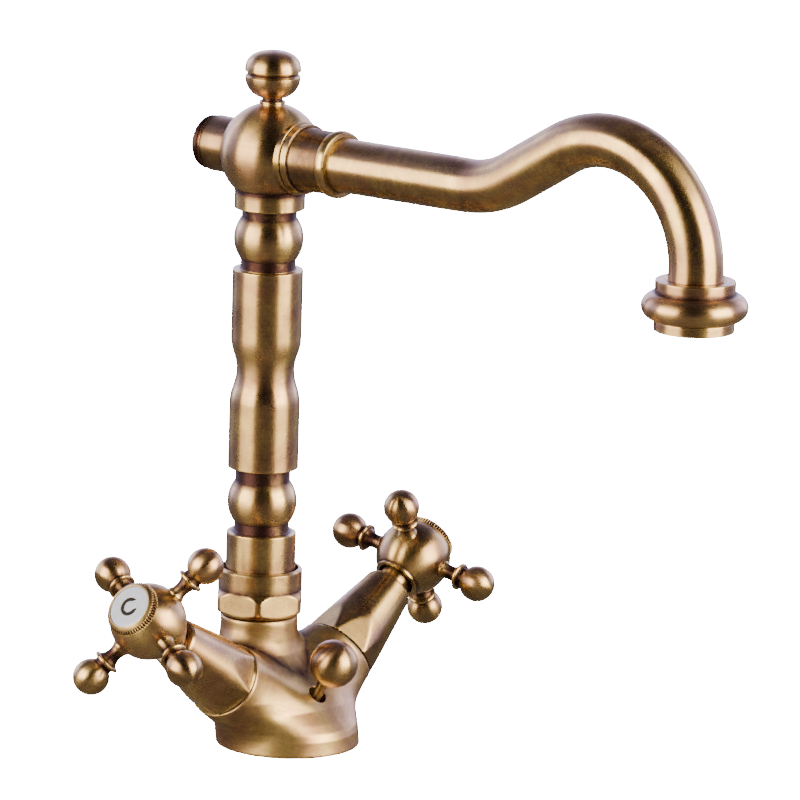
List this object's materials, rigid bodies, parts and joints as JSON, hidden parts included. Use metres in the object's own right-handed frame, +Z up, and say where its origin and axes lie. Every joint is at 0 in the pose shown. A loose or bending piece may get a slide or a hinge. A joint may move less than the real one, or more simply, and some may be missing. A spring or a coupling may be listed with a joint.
{
  "type": "bathroom mixer faucet",
  "caption": "Two-handle mixer faucet with a swivelling curved spout on a turned column, cross handles and a pop-up waste lift.",
  "frame": {"origin": "centre of the round foot, on the deck plane", "axes": "+Z up, the spout points along -Y, the hot handle is at -X and the cold handle at +X"},
  "size_m": [0.1831, 0.2413, 0.247],
  "materials": {
    "aged_brass": "antique bronze patina, fine circular brushing, bright on high edges and brown in recesses",
    "bright_brass": "machined",
    "black_rubber": "matte",
    "white_plastic": "moulded",
    "valve_ceramic": "lapped",
    "stainless_steel": "brushed",
    "white_enamel": "glossy white enamel",
    "dark_enamel": "glossy dark enamel"
  },
  "bodies": {
    "fixed_body": {"base_gasket": "black_rubber", "body_casting": "aged_brass", "left_bonnet": "aged_brass", "left_bonnet_gasket": "black_rubber", "left_cartridge_body": "bright_brass", "left_fixed_disc": "valve_ceramic", "left_seat_seal": "black_rubber", "popup_guide_bush": "white_plastic", "right_bonnet": "aged_brass", "right_bonnet_gasket": "black_rubber", "right_cartridge_body": "bright_brass", "right_fixed_disc": "valve_ceramic", "right_seat_seal": "black_rubber", "spout_retaining_nut": "aged_brass", "spout_slip_washer": "white_plastic"},
    "spout": {"aerator_housing": "aged_brass", "aerator_insert": "white_plastic", "aerator_screen": "stainless_steel", "aerator_washer": "black_rubber", "column_lower_joint": "aged_brass", "column_sleeve": "aged_brass", "column_upper_joint": "aged_brass", "finial": "aged_brass", "rear_cap": "aged_brass", "spout_end_collar": "aged_brass", "spout_head": "aged_brass", "spout_orings": "black_rubber", "spout_root_collar": "aged_brass", "spout_snap_ring": "stainless_steel", "spout_tube": "aged_brass"},
    "hot_handle": {"left_handle_screw": "stainless_steel", "left_hub": "aged_brass", "left_index_disc": "white_enamel", "left_index_ring": "aged_brass", "left_letter_c": "dark_enamel", "left_moving_disc": "valve_ceramic", "left_spindle": "aged_brass", "left_spindle_oring": "black_rubber", "left_spoke_1": "aged_brass", "left_spoke_2": "aged_brass", "left_spoke_3": "aged_brass", "left_spoke_4": "aged_brass"},
    "cold_handle": {"right_handle_screw": "stainless_steel", "right_hub": "aged_brass", "right_index_disc": "white_enamel", "right_index_ring": "aged_brass", "right_letter_f": "dark_enamel", "right_moving_disc": "valve_ceramic", "right_spindle": "aged_brass", "right_spindle_oring": "black_rubber", "right_spoke_1": "aged_brass", "right_spoke_2": "aged_brass", "right_spoke_3": "aged_brass", "right_spoke_4": "aged_brass"},
    "popup_lift": {"popup_knob": "aged_brass", "popup_rod": "aged_brass"}
  },
  "joints": [
    {"name": "spout_swivel", "type": "hinge", "parent": "fixed_body", "child": "spout", "pos_m": [0, 0.0149, 0.1], "axis": [0, 0, 1], "continuous": true},
    {"name": "hot_handle_turn", "type": "hinge", "parent": "fixed_body", "child": "hot_handle", "pos_m": [-0.0704, 0.0039, 0.0549], "axis": [-0.8192, 0, 0.5736], "range_deg": [0, 90]},
    {"name": "cold_handle_turn", "type": "hinge", "parent": "fixed_body", "child": "cold_handle", "pos_m": [0.0704, 0.0039, 0.0549], "axis": [0.8192, 0, 0.5736], "range_deg": [0, 90]},
    {"name": "popup_slide", "type": "slide", "parent": "fixed_body", "child": "popup_lift", "axis": [0, -0.506, 0.8625], "range_m": [0, 0.012]}
  ]
}
